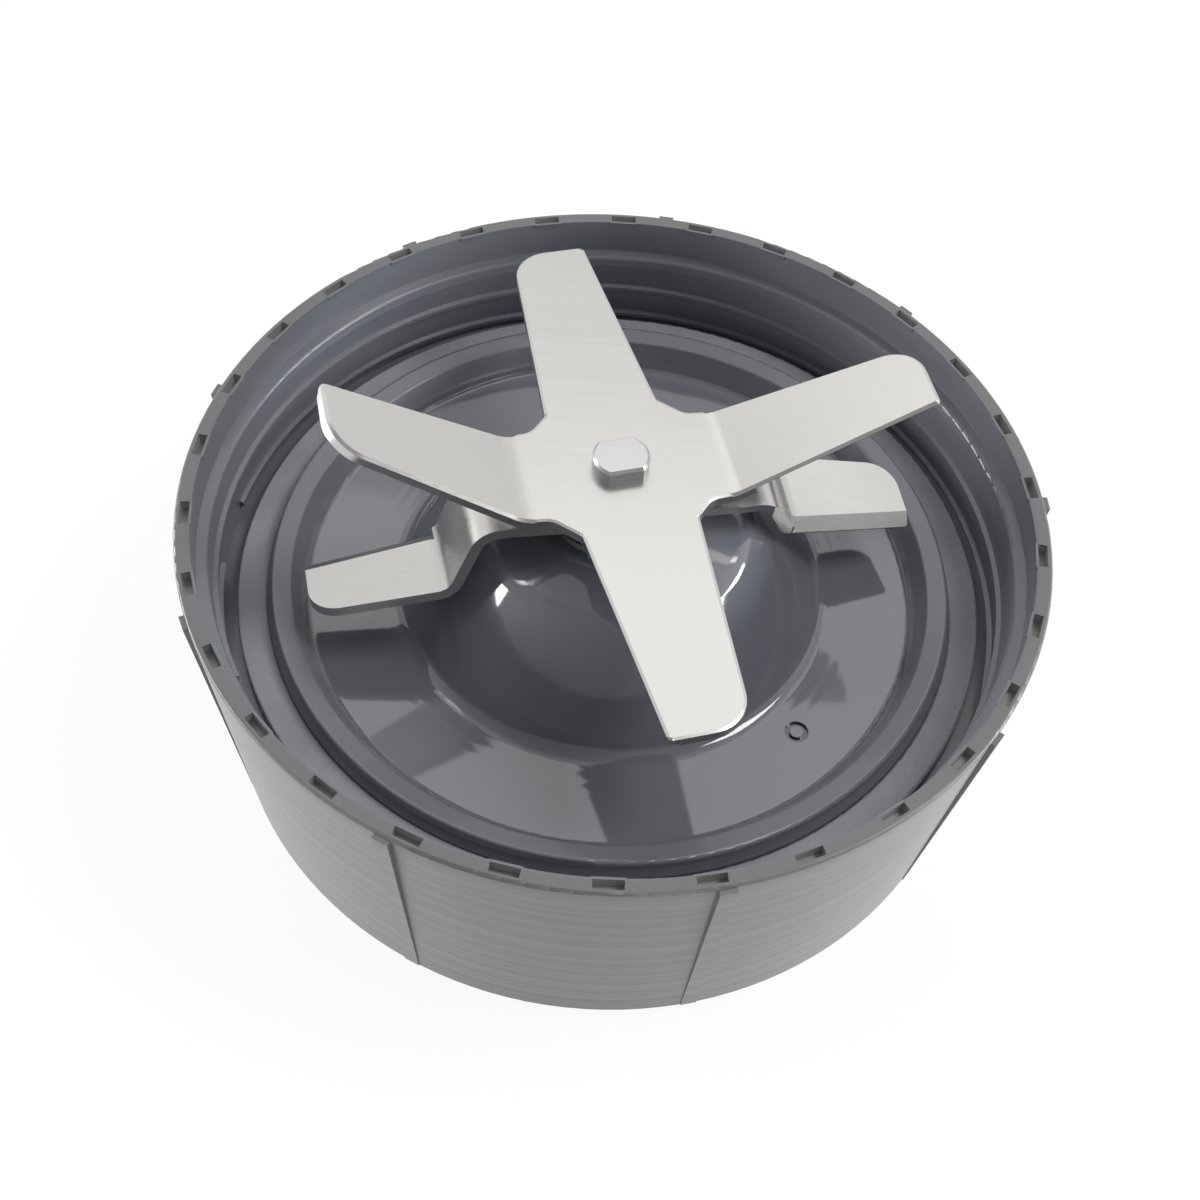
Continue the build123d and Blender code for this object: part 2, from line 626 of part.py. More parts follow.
# Rising prongs of the upper blade, each with a formed bend and its own rise
bent_prongs = []
for side, rise in enumerate(BENT_RISE):
    turn = BENT_TURN + 180 * side
    rise_cos = cos(radians(rise))
    rise_sin = sin(radians(rise))
    reach = PRONG_TIP - BEND_REACH
    tip_along = BEND_REACH + reach * rise_cos
    tip_z = UPPER_Z + reach * rise_sin
    under = SHEET * tan(radians(rise / 2))
    with BuildPart() as bent_prong:
        with BuildSketch(radial_plane(turn)) as bent_section:
            Polygon(
                (PRONG_START, UPPER_Z),
                (BEND_REACH, UPPER_Z),
                (tip_along, tip_z),
                (tip_along + SHEET * rise_sin, tip_z - SHEET * rise_cos),
                (BEND_REACH + under, UPPER_Z - SHEET),
                (PRONG_START, UPPER_Z - SHEET),
                align=None,
            )
            for corner, size in (
                ((BEND_REACH, UPPER_Z), BEND_R),
                ((BEND_REACH + under, UPPER_Z - SHEET), BEND_R + SHEET),
            ):
                fillet(bent_section.vertices().sort_by_distance(corner)[0], size)
        extrude(amount=PRONG_ROOT_W, both=True)
        tip_half = PRONG_TIP_W / 2
        end_along = tip_along + SHEET
        end_half = tip_half - (prong_half(BEND_REACH) - tip_half) / (tip_along - BEND_REACH) * SHEET
        with BuildSketch(Plane.XY.offset(UPPER_Z - 2 * SHEET)):
            Polygon(
                polar(turn, PRONG_START, -prong_half(PRONG_START)),
                polar(turn, BEND_REACH, -prong_half(BEND_REACH)),
                polar(turn, end_along, -end_half),
                polar(turn, end_along, end_half),
                polar(turn, BEND_REACH, prong_half(BEND_REACH)),
                polar(turn, PRONG_START, prong_half(PRONG_START)),
                align=None,
            )
        extrude(amount=PRONG_TIP, mode=Mode.INTERSECT)
        mid_along = tip_along + SHEET / 2 * rise_sin
        mid_z = tip_z - SHEET / 2 * rise_cos
        for across, size in ((tip_half, TIP_ROUND), (-tip_half, TIP_SHARP)):
            corner = polar(turn, mid_along, across)
            fillet(bent_prong.edges().sort_by_distance((corner[0], corner[1], mid_z))[0], size)
        lead = polar(turn, (BEND_REACH + tip_along) / 2, -(prong_half(BEND_REACH) + tip_half) / 2)
        lead_z = (UPPER_Z + tip_z) / 2
        chamfer(bent_prong.edges().sort_by_distance((lead[0], lead[1], lead_z))[0], EDGE_GRIND)
    bent_prongs.append(bent_prong.part)

# Upper blade: hub, two level prongs and the two rising prongs
with BuildPart() as upper_blade:
    with BuildSketch(Plane.XY.offset(UPPER_Z - SHEET)) as upper_outline:
        RegularPolygon(VALLEY_R, 4, rotation=(FLAT_TURN + BENT_TURN - 90) / 2, major_radius=False)
        for turn in (FLAT_TURN, FLAT_TURN + 180):
            Polygon(
                polar(turn, 0, -prong_half(0)),
                polar(turn, PRONG_TIP, -prong_half(PRONG_TIP)),
                polar(turn, PRONG_TIP, prong_half(PRONG_TIP)),
                polar(turn, 0, prong_half(0)),
                align=None,
            )
        for turn in (BENT_TURN, BENT_TURN + 180):
            Polygon(
                polar(turn, 0, -prong_half(0)),
                polar(turn, STUB_END, -prong_half(STUB_END)),
                polar(turn, STUB_END, prong_half(STUB_END)),
                polar(turn, 0, prong_half(0)),
                align=None,
            )
        for turn, size in (
            (FLAT_TURN, VALLEY_SHARP),
            (FLAT_TURN + 180, VALLEY_SHARP),
            (BENT_TURN, VALLEY_SOFT),
            (BENT_TURN + 180, VALLEY_SOFT),
        ):
            for hand in (-1, 1):
                root = polar(turn, PRONG_ROOT, hand * prong_half(PRONG_ROOT))
                fillet(upper_outline.vertices().sort_by_distance(root)[0], size)
        for turn in (FLAT_TURN, FLAT_TURN + 180):
            for hand, size in ((1, TIP_ROUND), (-1, TIP_SHARP)):
                corner = polar(turn, PRONG_TIP, hand * prong_half(PRONG_TIP))
                fillet(upper_outline.vertices().sort_by_distance(corner)[0], size)
    extrude(amount=SHEET)
    for turn in (FLAT_TURN, FLAT_TURN + 180):
        lead = polar(turn, PRONG_TIP / 2, -prong_half(PRONG_TIP / 2))
        chamfer(upper_blade.edges().sort_by_distance((lead[0], lead[1], UPPER_Z))[0], EDGE_GRIND)
    add(bent_prongs)
    with BuildSketch(Plane.XY.offset(UPPER_Z - SHEET)):
        Circle(HEAD_R)
        Rectangle(2 * HEAD_R, HEAD_FLATS, rotation=FLAT_TURN - 90, mode=Mode.INTERSECT)
    extrude(amount=SHEET, mode=Mode.SUBTRACT)
upper_blade.part.label = "upper_blade"
export_step(upper_blade.part, "parts/upper_blade.step")

# Dropped arms of the lower blade, each twisted about its own length and ground on its leading edge
dropped_arms = []
for side in (0, 180):
    turn = radians(BENT_TURN + side)
    along = Vector(cos(turn), sin(turn), 0)
    level = Vector(-sin(turn), cos(turn), 0)
    across = level * cos(radians(TWIST)) + Vector(0, 0, 1) * sin(radians(TWIST))
    normal = along.cross(across)
    centre = Vector(0, 0, LOWER_Z)
    fold = radians(DROP_ANGLE)
    droop = radians(WING_DROOP)
    mitre = SHEET / (1 + cos(fold - droop))
    fold_under = (DROP_FROM - SHEET * tan(fold / 2), -SHEET)
    wing_under = (WING_FROM - mitre * (sin(fold) + sin(droop)), -DROP_H - mitre * (cos(fold) + cos(droop)))
    with BuildPart() as dropped_arm:
        with BuildSketch(Plane(origin=centre, x_dir=along, z_dir=across * -1)) as arm_section:
            Polygon(
                (TWIST_TO, 0),
                (DROP_FROM, 0),
                (WING_FROM, -DROP_H),
                (WING_TIP, -WING_TIP_H),
                (WING_TIP - SHEET * sin(droop), -WING_TIP_H - SHEET * cos(droop)),
                wing_under,
                fold_under,
                (TWIST_TO, -SHEET),
                align=None,
            )
            for corner, size in (
                ((DROP_FROM, 0), DROP_R + SHEET),
                ((WING_FROM, -DROP_H), DROP_R),
                (wing_under, DROP_R + SHEET),
                (fold_under, DROP_R),
            ):
                fillet(arm_section.vertices().sort_by_distance(corner)[0], size)
        extrude(amount=ARM_W, both=True)
        with BuildSketch(Plane(origin=centre, x_dir=along, z_dir=normal)) as arm_outline:
            Polygon(
                (TWIST_TO, -ARM_W / 2),
                (DROP_FROM, -ARM_W / 2),
                (WING_FROM, -WING_LEAD),
                (WING_TIP, -WING_LEAD),
                (WING_TIP, WING_TRAIL_TIP),
                (WING_FROM, WING_TRAIL_ROOT),
                (DROP_FROM, ARM_W / 2),
                (TWIST_TO, ARM_W / 2),
                align=None,
            )
            for edge, size in ((WING_TRAIL_TIP, WING_ROUND), (-WING_LEAD, TIP_SHARP)):
                fillet(arm_outline.vertices().sort_by_distance((WING_TIP, edge))[0], size)
        extrude(amount=2 * DROP_H, both=True, mode=Mode.INTERSECT)
        wing_dir = along * cos(droop) - normal * sin(droop)
        lead = centre + along * WING_FROM - across * WING_LEAD - normal * DROP_H + wing_dir * GRIND_FROM
        with BuildSketch(Plane(origin=lead, x_dir=across, z_dir=wing_dir)):
            Polygon(
                (GRIND_W * (1 + GRIND_OVER), GRIND_D * GRIND_OVER),
                (-GRIND_W * GRIND_OVER, GRIND_D * GRIND_OVER),
                (-GRIND_W * GRIND_OVER, -GRIND_D * (1 + GRIND_OVER)),
                align=None,
            )
        extrude(amount=WING_TIP, mode=Mode.SUBTRACT)
    dropped_arms.append(dropped_arm.part)

# Lower blade: hub strip, twist zones and the two dropped arms
with BuildPart() as lower_blade:
    with BuildSketch(Plane.XY.offset(LOWER_Z)):
        Rectangle(2 * TWIST_FROM, ARM_W, rotation=BENT_TURN)
    extrude(amount=-SHEET)
    for side in (0, 180):
        turn = radians(BENT_TURN + side)
        along = Vector(cos(turn), sin(turn), 0)
        level = Vector(-sin(turn), cos(turn), 0)
        across = level * cos(radians(TWIST)) + Vector(0, 0, 1) * sin(radians(TWIST))
        root = Vector(0, 0, LOWER_Z)
        with BuildSketch(Plane(origin=root + along * TWIST_FROM, x_dir=level, z_dir=along)):
            with Locations((0, -SHEET / 2)):
                Rectangle(ARM_W, SHEET)
        with BuildSketch(Plane(origin=root + along * TWIST_TO, x_dir=across, z_dir=along)):
            with Locations((0, -SHEET / 2)):
                Rectangle(ARM_W, SHEET)
        loft()
    add(dropped_arms)
    with BuildSketch(Plane.XY.offset(LOWER_Z)):
        Circle(HEAD_R)
        Rectangle(2 * HEAD_R, HEAD_FLATS, rotation=FLAT_TURN - 90, mode=Mode.INTERSECT)
    extrude(amount=-SHEET, mode=Mode.SUBTRACT)
lower_blade.part.label = "lower_blade"
export_step(lower_blade.part, "parts/lower_blade.step")
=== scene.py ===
import math

import bpy
from mathutils import Matrix, Vector


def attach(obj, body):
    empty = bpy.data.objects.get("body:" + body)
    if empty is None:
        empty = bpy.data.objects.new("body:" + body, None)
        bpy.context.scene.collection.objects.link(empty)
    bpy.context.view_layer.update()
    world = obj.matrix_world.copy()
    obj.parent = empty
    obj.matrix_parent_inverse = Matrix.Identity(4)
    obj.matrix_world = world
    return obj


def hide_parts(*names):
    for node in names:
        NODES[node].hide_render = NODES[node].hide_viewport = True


bl_info = {
    "name": "Blender Blade Assembly",
    "version": (1, 0, 0),
    "blender": (4, 5, 0),
    "location": "View3D > Sidebar > Blade Assembly",
    "description": "Finishes a threaded blade holder with stacked steel blades and sets its studio stage",
    "category": "Object",
}

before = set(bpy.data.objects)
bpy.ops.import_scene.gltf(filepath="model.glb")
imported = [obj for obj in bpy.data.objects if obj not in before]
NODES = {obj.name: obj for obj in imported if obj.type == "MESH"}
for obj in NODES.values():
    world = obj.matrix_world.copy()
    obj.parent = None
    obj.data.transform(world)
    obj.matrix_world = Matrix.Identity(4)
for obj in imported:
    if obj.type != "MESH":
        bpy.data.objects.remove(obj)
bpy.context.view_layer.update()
MM = 0.001

# Sizes of the upper blade, as in the part's source
SHEET = 1.2 * MM
UPPER_Z = 39.5 * MM
EDGE_GRIND = 0.3 * MM
PRONG_ROOT = 9.1 * MM
PRONG_TIP = 35.15 * MM
BEND_REACH = 11.58 * MM
ROOT_HALF = 6.4 * MM
TIP_HALF = 4.35 * MM

# Turn and rise of each upper prong, in degrees
PRONGS = ((108.0, 0.0), (288.0, 0.0), (16.0, 22.0), (196.0, 35.5))

# Work on the copy of the upper blade
MERGE_DISTANCE = 0.001 * MM
CHAMFER_SLACK = 0.005 * MM
CUTTER_DEPTH = 3.0 * SHEET
SMOOTH_ANGLE = math.radians(15.0)

# Spans of height or radius over which one finish of the holder gives way to the next
UPPER_SIDE = (17.4 * MM, 18.2 * MM)
FINISH_EDGE = 0.4 * MM
HOLLOW_FACING = (0.1, 0.3)
HOLLOW_EDGE = (25.5 * MM, 26.5 * MM)
POST_EDGE = (13.5 * MM, 14.0 * MM)
POST_TOP = (29.5 * MM, 30.0 * MM)
POCKET_INSIDE = (46.97 * MM, 47.03 * MM)
POCKET_OUTSIDE = (48.10 * MM, 48.20 * MM)
POCKET_FLOOR = (32.10 * MM, 32.20 * MM)
POCKET_TOP = (33.40 * MM, 33.66 * MM)
GATE_INSIDE = (0.6 * MM, 0.8 * MM)
GATE_OUTSIDE = (1.3 * MM, 1.5 * MM)
RIPPLE_INSIDE = (24.2 * MM, 25.4 * MM)
RIPPLE_OUTSIDE = (28.0 * MM, 30.0 * MM)
RIPPLE_LENGTH = 1.5 * MM

# Relief of the holder's surface, in shares of its depth
RELIEF_DEPTH = 0.1 * MM
PORE_SHARE = 0.03
BAND_SHARE = 1.5
SWAY_SHARE = 0.8
RIPPLE_SHARE = 0.06

# Gloss and shade of the holder
PLASTIC_IOR = 1.55
COAT_IOR = 1.6
COAT_ROUGHNESS = 0.06
FLOOR_COAT = 0.35
MOUTH_COAT = 0.2
GATE_SHADE = (0.05, 0.052, 0.058)
TONE_DARK = (0.9, 0.9, 0.9)
TONE_LIGHT = (1.08, 1.08, 1.08)

# Shares of each noise in the tone of a surface
FINE_TONE = 0.4
BROAD_TONE = 0.6
LINE_TONE = 0.65
CLOUD_TONE = 0.35
GRAIN_TONE = 0.5
BAND_TONE = 0.5

# Spans of tone that are spread over a finish
HOLDER_TONE = (0.2, 0.6)
PIECE_TONE = (0.3, 0.7)

# Stretch of the drawn lines in steel: a small share makes them long
ALONG_SHEET = (0.04, 1.0, 1.0)
ROUND_SHAFT = (0.08, 0.08, 1.0)
ALONG_CLIP = (1.0, 0.1, 1.0)
EVEN = (1.0, 1.0, 1.0)
SHEET_TURN = math.radians(16.0)

# Colours of the hidden pieces
SPRING_STEEL = (0.2, 0.2, 0.21)
SLEEVE_STEEL = (0.54, 0.54, 0.55)
BRONZE = (0.52, 0.34, 0.17)
PALE_NYLON = (0.72, 0.7, 0.66)
BLACK_NYLON = (0.028, 0.028, 0.031)
FELT = (0.46, 0.42, 0.33)
BLACK_RUBBER = (0.02, 0.02, 0.02)

# Floor and surround
FLOOR_SIZE = 6.0
FLOOR_Z = -0.02 * MM
PAPER = (0.86, 0.86, 0.86, 1.0)
WHITE = (1.0, 1.0, 1.0, 1.0)
GLOW_STRENGTH = 1.06
GLOW_SHARE = 0.85
FRONT_SPAN = (0.2, 0.7)
SHADED_SHARE = 0.75
EVEN_SHARE = 0.25

# Softboxes: size, place and aim, in metres
BACK_SIZE = (0.6, 0.2)
BACK_PLACE = (0.0, 0.37, 0.60)
TOP_SIZE = (0.2, 0.2)
TOP_PLACE = (0.36, 0.02, 0.60)
SIDE_SIZE = (0.36, 0.12)
LEFT_PLACE = (-0.55, 0.0, 0.10)
RIGHT_PLACE = (0.55, 0.0, 0.10)
HIGH_AIM = (0.0, 0.0, 0.03)
SIDE_AIM = (0.0, 0.0, 0.02)

# Camera: sensor in millimetres, nearest sight in metres
SENSOR_WIDTH = 36.0
CLIP_START = 0.005

# Spacing of nodes in the editor
NODE_STEP = 200


# Settings

class HolderSettings(bpy.types.PropertyGroup):
    """Finish of the holder and its gasket"""
    outside_colour: bpy.props.FloatVectorProperty(
        name="Outside", description="Colour of the satin skirt and rim", subtype="COLOR",
        size=3, min=0.0, max=1.0, default=(0.170, 0.175, 0.173))
    # Painted light: the mouth and floor get a lighter colour than the outside of the same plastic, to
    # offset the shade in the mouth
    inside_painted_light_colour: bpy.props.FloatVectorProperty(
        name="Inside", description="Colour of the polished mouth and floor", subtype="COLOR",
        size=3, min=0.0, max=1.0, default=(0.200, 0.211, 0.241))
    # Painted light: a paler colour laid in the rim pockets stands in for the light that reaches into them
    painted_light_colour: bpy.props.FloatVectorProperty(
        name="Pocket_Painted_Light", description="Colour of the painted_light in the rim pockets", subtype="COLOR",
        size=3, min=0.0, max=1.0, default=(0.42, 0.425, 0.41))
    skirt_roughness: bpy.props.FloatProperty(
        name="Skirt Roughness", description="Roughness of the satin outside", subtype="FACTOR",
        min=0.0, max=1.0, default=0.32)
    wall_roughness: bpy.props.FloatProperty(
        name="Wall Roughness", description="Roughness of the threaded wall", subtype="FACTOR",
        min=0.0, max=1.0, default=0.28)
    rib_roughness: bpy.props.FloatProperty(
        name="Rib Roughness", description="Roughness of the rib beside the gasket", subtype="FACTOR",
        min=0.0, max=1.0, default=0.30)
    floor_roughness: bpy.props.FloatProperty(
        name="Floor Roughness", description="Roughness of the polished floor and hub", subtype="FACTOR",
        min=0.0, max=1.0, default=0.07)
    mouth_radius: bpy.props.FloatProperty(
        name="Mouth Radius", description="Radius at which the satin outside begins", unit="LENGTH",
        default=46.8 * MM, precision=4)
    rib_radius: bpy.props.FloatProperty(
        name="Rib Radius", description="Radius of the rib beside the gasket", unit="LENGTH",
        default=40.0 * MM, precision=4)
    polish_radius: bpy.props.FloatProperty(
        name="Polish Radius", description="Radius within which the floor is polished", unit="LENGTH",
        default=35.8 * MM, precision=4)
    gasket_colour: bpy.props.FloatVectorProperty(
        name="Gasket", description="Colour of the silicone gasket", subtype="COLOR",
        size=3, min=0.0, max=1.0, default=(0.395, 0.400, 0.430))
    gate_place: bpy.props.FloatVectorProperty(
        name="Gate Place", description="Middle of the gate mark in plan",
        subtype="TRANSLATION", unit="LENGTH",
        size=3, default=(22.18 * MM, -19.07 * MM, 0.0))


class BladeSettings(bpy.types.PropertyGroup):
    """Finish of the steel and grind of the prongs"""
    steel_colour: bpy.props.FloatVectorProperty(
        name="Blade Steel", description="Colour of the stainless blades", subtype="COLOR",
        size=3, min=0.0, max=1.0, default=(0.57, 0.563, 0.547))
    steel_roughness: bpy.props.FloatProperty(
        name="Blade Roughness", description="Roughness of the satin sheet", subtype="FACTOR",
        min=0.0, max=1.0, default=0.29)
    grind_width: bpy.props.FloatProperty(
        name="Grind Width", description="Width of the ground face under each leading edge", unit="LENGTH",
        default=1.5 * MM, precision=4)
    grind_land: bpy.props.FloatProperty(
        name="Grind Land", description="Thickness of sheet that is left at the ground edge", unit="LENGTH",
        default=0.35 * MM, precision=5)
    edge_roll: bpy.props.FloatProperty(
        name="Edge Roll", description="Drop of the rolled upper edge of a level prong", unit="LENGTH",
        default=0.1 * MM, precision=5)
    grind_run_out: bpy.props.FloatProperty(
        name="Grind Run-Out", description="Length of edge at the root that is left unground", unit="LENGTH",
        default=2.0 * MM, precision=4)
    turned_colour: bpy.props.FloatVectorProperty(
        name="Turned Steel", description="Colour of the shaft and other turned steel", subtype="COLOR",
        size=3, min=0.0, max=1.0, default=(0.56, 0.56, 0.56))
    turned_roughness: bpy.props.FloatProperty(
        name="Turned Roughness", description="Roughness of turned steel", subtype="FACTOR",
        min=0.0, max=1.0, default=0.28)


class StageSettings(bpy.types.PropertyGroup):
    """Camera, lamps and surround"""
    lens: bpy.props.FloatProperty(
        name="Lens", description="Focal length on a 36 mm sensor, in millimetres", default=48.74)
    camera_place: bpy.props.FloatVectorProperty(
        name="Camera Place", description="Where the camera stands", subtype="TRANSLATION", unit="LENGTH",
        size=3, default=(-0.00099, -0.11823, 0.17185))
    camera_elevation: bpy.props.FloatProperty(
        name="Camera Elevation", description="Angle of the camera above the floor", subtype="ANGLE",
        default=math.radians(53.016))
    camera_roll: bpy.props.FloatProperty(
        name="Camera Roll", description="Roll of the camera about its line of sight", subtype="ANGLE",
        default=math.radians(4.840))
    key_power: bpy.props.FloatProperty(
        name="Key Power", description="Power of the softbox behind and above", unit="POWER", default=0.25)
    top_power: bpy.props.FloatProperty(
        name="Top Power", description="Power of the softbox above on the right", unit="POWER", default=1.3)
    side_power: bpy.props.FloatProperty(
        name="Side Power", description="Power of each softbox at the side", unit="POWER", default=2.5)
    surround: bpy.props.FloatProperty(
        name="Surround", description="Strength of the even light from all round", default=0.6, min=0.0)
    front_level: bpy.props.FloatProperty(
        name="Front Level", description="Share of the surround that is left at the dim front",
        subtype="FACTOR", default=0.4, min=0.0, max=1.0)
    front_aim: bpy.props.FloatVectorProperty(
        name="Front Aim", description="Direction of the middle of the dim front", subtype="DIRECTION",
        size=3, default=(0.0, -0.77, 0.64))


# Node helpers

def put(tree, kind, place, **values):
    """Adds a node of a kind and sets the inputs and options that are given by name."""
    node = tree.nodes.new(kind)
    node.location = (place[0] * NODE_STEP, place[1] * NODE_STEP)
    for key, value in values.items():
        if hasattr(node, key):
            setattr(node, key, value)
        else:
            node.inputs[key.replace("_", " ").title()].default_value = value
    return node


def feed(tree, sockets, values):
    """Links each socket to a value that is a socket, or sets it to a value that is given."""
    for socket, value in zip(sockets, values):
        if isinstance(value, bpy.types.NodeSocket):
            tree.links.new(value, socket)
        elif value is not None:
            socket.default_value = value


def maths(tree, place, operation, first, second=None, third=None):
    """Adds a Math node whose inputs are sockets or numbers, and returns its output."""
    node = put(tree, "ShaderNodeMath", place)
    node.operation = operation
    feed(tree, node.inputs, (first, second, third))
    return node.outputs[0]


def vector_maths(tree, place, operation, first, second=None):
    """Adds a Vector Math node whose inputs are sockets or vectors, and returns the node."""
    node = put(tree, "ShaderNodeVectorMath", place)
    node.operation = operation
    feed(tree, node.inputs, (first, second))
    return node


def ramp(tree, place, value, span, low=0.0, high=1.0):
    """Maps a value smoothly from a span to a range and returns the result."""
    node = put(tree, "ShaderNodeMapRange", place)
    node.interpolation_type = "SMOOTHSTEP"
    feed(tree, node.inputs, (value, *span, low, high))
    return node.outputs[0]


def fall(tree, place, value, span):
    """Maps a value smoothly from 1 below a span to 0 above it."""
    return ramp(tree, place, value, span, 1.0, 0.0)


def blend_colour(tree, place, factor, first, second, mode="MIX"):
    """Mixes two colours by a factor and returns the result."""
    node = put(tree, "ShaderNodeMix", place)
    node.data_type = "RGBA"
    node.blend_type = mode
    sockets = [s for s in node.inputs if s.enabled]
    for socket, value in zip(sockets, (factor, first, second)):
        if isinstance(value, bpy.types.NodeSocket):
            tree.links.new(value, socket)
        elif isinstance(value, float):
            socket.default_value = value
        else:
            socket.default_value = (*value, 1.0)
    return [s for s in node.outputs if s.enabled][0]


def fresh_material(name):
    """Makes an empty node material with its output and its main shader."""
    material = bpy.data.materials.new(name)
    material.use_nodes = True
    tree = material.node_tree
    tree.nodes.clear()
    end = put(tree, "ShaderNodeOutputMaterial", (6, 0))
    shader = put(tree, "ShaderNodeBsdfPrincipled", (4, 0))
    tree.links.new(shader.outputs[0], end.inputs[0])
    return material, tree, shader


def new_group(name, inputs, outputs):
    """Makes a shader node group with named sockets."""
    group = bpy.data.node_groups.new(name, "ShaderNodeTree")
    for label, kind, value in inputs:
        socket = group.interface.new_socket(label, in_out="INPUT", socket_type=kind)
        if value is not None:
            socket.default_value = value
    for label, kind in outputs:
        group.interface.new_socket(label, in_out="OUTPUT", socket_type=kind)
    start = put(group, "NodeGroupInput", (-4, 0))
    end = put(group, "NodeGroupOutput", (6, 0))
    return group, start, end


def moulded_grain():
    """Group: the faint mottling and pores of a moulded surface."""
    name = "Moulded Grain"
    if name in bpy.data.node_groups:
        return bpy.data.node_groups[name]
    group, start, end = new_group(
        name,
        [("Vector", "NodeSocketVector", None), ("Grain", "NodeSocketFloat", 2600.0),
         ("Mottle", "NodeSocketFloat", 90.0)],
        [("Tone", "NodeSocketFloat"), ("Height", "NodeSocketFloat")])
    fine = put(group, "ShaderNodeTexNoise", (-2, 1), detail=3.0)
    broad = put(group, "ShaderNodeTexNoise", (-2, -1), detail=2.0)
    for node, scale in ((fine, "Grain"), (broad, "Mottle")):
        group.links.new(start.outputs["Vector"], node.inputs["Vector"])
        group.links.new(start.outputs[scale], node.inputs["Scale"])
    tone = maths(group, (0, 0), "ADD",
                 maths(group, (-1, 1), "MULTIPLY", fine.outputs[0], FINE_TONE),
                 maths(group, (-1, -1), "MULTIPLY", broad.outputs[0], BROAD_TONE))
    group.links.new(tone, end.inputs["Tone"])
    group.links.new(fine.outputs[0], end.inputs["Height"])
    return group


def drawn_lines():
    """Group: fine lines left along one direction by rolling, brushing or turning."""
    name = "Drawn Lines"
    if name in bpy.data.node_groups:
        return bpy.data.node_groups[name]
    group, start, end = new_group(
        name,
        [("Vector", "NodeSocketVector", None), ("Lines", "NodeSocketFloat", 900.0)],
        [("Tone", "NodeSocketFloat"), ("Height", "NodeSocketFloat")])
    lines = put(group, "ShaderNodeTexNoise", (-2, 1), detail=4.0)
    cloud = put(group, "ShaderNodeTexNoise", (-2, -1), detail=2.0, scale=160.0)
    group.links.new(start.outputs["Vector"], lines.inputs["Vector"])
    group.links.new(start.outputs["Lines"], lines.inputs["Scale"])
    group.links.new(start.outputs["Vector"], cloud.inputs["Vector"])
    tone = maths(group, (0, 0), "ADD",
                 maths(group, (-1, 1), "MULTIPLY", lines.outputs[0], LINE_TONE),
                 maths(group, (-1, -1), "MULTIPLY", cloud.outputs[0], CLOUD_TONE))
    group.links.new(tone, end.inputs["Tone"])
    group.links.new(lines.outputs[0], end.inputs["Height"])
    return group


def place_group(tree, group, place, vector, **values):
    """Adds a node group and gives it its vector and its own values."""
    node = put(tree, "ShaderNodeGroup", place)
    node.node_tree = group
    tree.links.new(vector, node.inputs["Vector"])
    for key, value in values.items():
        node.inputs[key.title()].default_value = value
    return node


def bumped(tree, place, height, strength, depth):
    """Turns a height into a normal."""
    node = put(tree, "ShaderNodeBump", place)
    node.inputs["Strength"].default_value = strength
    node.inputs["Distance"].default_value = depth
    tree.links.new(height, node.inputs["Height"])
    return node.outputs["Normal"]


def dress(name, material):
    """Gives a node of the frame its finish."""
    mesh = NODES[name].data
    mesh.materials.clear()
    mesh.materials.append(material)


# Masks of the holder

def under_hub(tree, radius, height, flat, normal):
    """Mask of the hollow under the hub and of the bearing post in it."""
    away = vector_maths(tree, (-5, 7), "NORMALIZE", flat)
    leaning = vector_maths(tree, (-4, 7), "ADD", away.outputs[0], (0.0, 0.0, 1.0))
    facing = vector_maths(tree, (-3, 7), "DOT_PRODUCT", leaning.outputs[0], normal)
    hollow = maths(tree, (-2, 7), "MULTIPLY",
                   fall(tree, (-3, 8), facing.outputs["Value"], HOLLOW_FACING),
                   fall(tree, (-3, 9), radius, HOLLOW_EDGE))
    post = maths(tree, (-2, 8), "MULTIPLY",
                 fall(tree, (-3, 10), radius, POST_EDGE),
                 fall(tree, (-3, 11), height, POST_TOP))
    return maths(tree, (-1, 8), "MAXIMUM", hollow, post)


def in_pockets(tree, radius, height):
    """Mask of the inside of the rim pockets, where a paler colour is laid as painted light."""
    across = maths(tree, (-3, 12), "MULTIPLY",
                   ramp(tree, (-4, 12), radius, POCKET_INSIDE),
                   fall(tree, (-4, 13), radius, POCKET_OUTSIDE))
    deep = maths(tree, (-3, 14), "MULTIPLY",
                 ramp(tree, (-4, 14), height, POCKET_FLOOR),
                 fall(tree, (-4, 15), height, POCKET_TOP))
    return maths(tree, (-2, 12), "MULTIPLY", across, deep)


def gate_ring(tree, flat, place):
    """Mask of the ring of the gate mark."""
    away = vector_maths(tree, (-5, 4), "DISTANCE", flat, place).outputs["Value"]
    return maths(tree, (-3, 4), "MULTIPLY",
                 ramp(tree, (-4, 5), away, GATE_INSIDE),
                 fall(tree, (-4, 4), away, GATE_OUTSIDE))


def floor_ripple(tree, radius):
    """Height of the faint rings that the mould leaves round the hub's foot."""
    turns = maths(tree, (-4, -5), "MULTIPLY", radius, 2.0 * math.pi / RIPPLE_LENGTH)
    zone = maths(tree, (-2, -5), "MULTIPLY",
                 ramp(tree, (-4, -6), radius, RIPPLE_INSIDE),
                 fall(tree, (-4, -7), radius, RIPPLE_OUTSIDE))
    return maths(tree, (-1, -5), "MULTIPLY", maths(tree, (-3, -5), "SINE", turns), zone)


# Finishes

